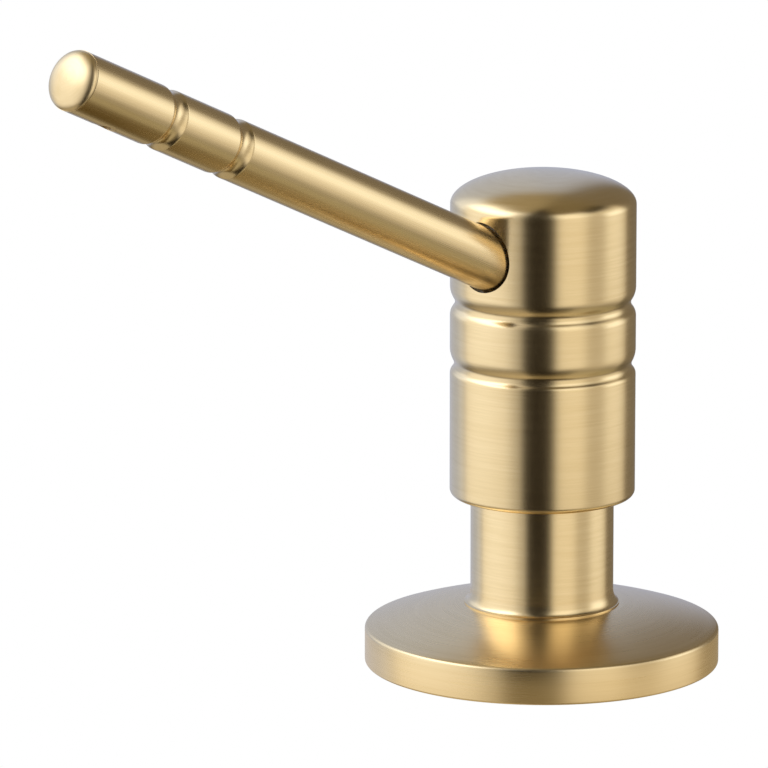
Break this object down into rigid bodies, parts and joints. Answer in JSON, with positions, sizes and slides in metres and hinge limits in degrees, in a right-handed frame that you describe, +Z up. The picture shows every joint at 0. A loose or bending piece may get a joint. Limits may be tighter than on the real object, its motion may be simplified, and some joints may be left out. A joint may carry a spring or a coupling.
{
  "type": "soap pump dispenser",
  "caption": "Deck-mounted soap pump with a round flange, plain stem, grooved press-down head and long straight inclined spout that swivels.",
  "frame": {"origin": "where the pump axis meets the worktop, at the centre of the flange's underside", "axes": "+Z up along the pump axis, -Y along the spout in plan, X to the sides"},
  "size_m": [0.0576, 0.1383, 0.1153],
  "materials": {
    "brushed_brass": "satin, finely brushed round the axis, champagne gold",
    "stainless_steel": "satin",
    "white_plastic": "moulded acetal",
    "natural_plastic": "moulded polypropylene",
    "black_rubber": "matt rubber"
  },
  "bodies": {
    "base": {"deck_flange": "brushed_brass", "stem_body": "brushed_brass", "deck_gasket": "black_rubber", "flange_o_ring": "black_rubber"},
    "cartridge": {"pump_cylinder": "natural_plastic", "cylinder_cap": "white_plastic", "rod_wiper": "black_rubber", "collar_washer": "black_rubber", "intake_cage": "white_plastic", "return_spring": "stainless_steel"},
    "suction_ball": {"suction_ball": "stainless_steel"},
    "piston": {"piston_head": "white_plastic", "piston_seal": "black_rubber", "valve_keeper": "white_plastic", "piston_rod": "stainless_steel", "thrust_washer": "white_plastic", "rod_o_ring": "black_rubber", "swivel_snap_ring": "stainless_steel"},
    "discharge_ball": {"discharge_ball": "stainless_steel"},
    "pump_head": {"head_shell": "brushed_brass", "head_insert": "white_plastic", "insert_circlip": "stainless_steel", "skirt_wear_ring": "white_plastic", "spout_grub_screw": "stainless_steel", "spout_tube": "brushed_brass", "spout_end_plug": "brushed_brass", "spout_liner": "natural_plastic", "outlet_nozzle": "brushed_brass", "spout_o_ring_inner": "black_rubber", "spout_o_ring_outer": "black_rubber"}
  },
  "joints": [
    {"name": "cartridge_lift", "type": "slide", "parent": "base", "child": "cartridge", "axis": [0, 0, 1], "range_m": [0, 0.036]},
    {"name": "suction_ball_lift", "type": "slide", "parent": "cartridge", "child": "suction_ball", "axis": [0, 0, 1], "range_m": [0, 0.001]},
    {"name": "pump_stroke", "type": "slide", "parent": "cartridge", "child": "piston", "axis": [0, 0, 1], "range_m": [-0.013, 0], "stiffness_N_per_m": 700, "springref_m": 0.012, "deforming": ["return_spring"]},
    {"name": "discharge_ball_lift", "type": "slide", "parent": "piston", "child": "discharge_ball", "axis": [0, 0, 1], "range_m": [0, 0.0009]},
    {"name": "head_swivel", "type": "hinge", "parent": "piston", "child": "pump_head", "pos_m": [0, 0, 0.0564], "axis": [0, 0, 1], "continuous": true}
  ]
}
